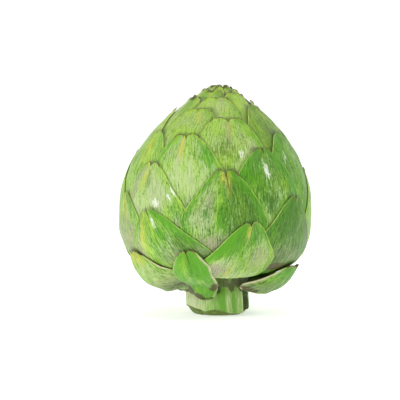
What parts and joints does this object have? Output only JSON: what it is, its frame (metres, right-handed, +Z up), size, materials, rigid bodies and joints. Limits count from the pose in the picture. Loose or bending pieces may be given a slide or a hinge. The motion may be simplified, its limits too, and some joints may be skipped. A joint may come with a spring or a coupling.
{
  "type": "artichoke",
  "caption": "Globe artichoke on a short cut stem: large green bracts laid over one another in a spiral round a closed bud.",
  "frame": {"origin": "centre of the stem's cut face, which the artichoke stands on", "axes": "+Z up through the stem towards the tip of the bud, -Y the side that the notch of the broadest front bract faces, +X to the right of it"},
  "size_m": [0.0987, 0.0987, 0.1167],
  "materials": {
    "bract": "satin",
    "bud": "satin",
    "stem": "matte"
  },
  "bodies": {
    "root": {"stem": "stem", "bract_01": "bract", "bract_02": "bract", "bract_03": "bract", "bract_04": "bract", "bract_05": "bract", "bract_06": "bract", "bract_07": "bract", "bract_08": "bract", "bract_09": "bract", "bract_10": "bract", "bract_11": "bract", "bract_12": "bract", "bract_13": "bract", "bract_14": "bract", "bract_15": "bract", "bract_16": "bract", "bract_17": "bract", "bract_18": "bract", "bract_19": "bract", "bract_20": "bract", "bract_21": "bract", "bract_22": "bract", "bract_23": "bract", "bract_24": "bract", "bract_25": "bract", "bract_26": "bract", "bract_27": "bract", "bract_28": "bract", "bract_29": "bract", "bract_30": "bract", "bract_31": "bract", "bract_32": "bract", "bract_33": "bract", "inner_bud": "bud"}
  },
  "joints": []
}
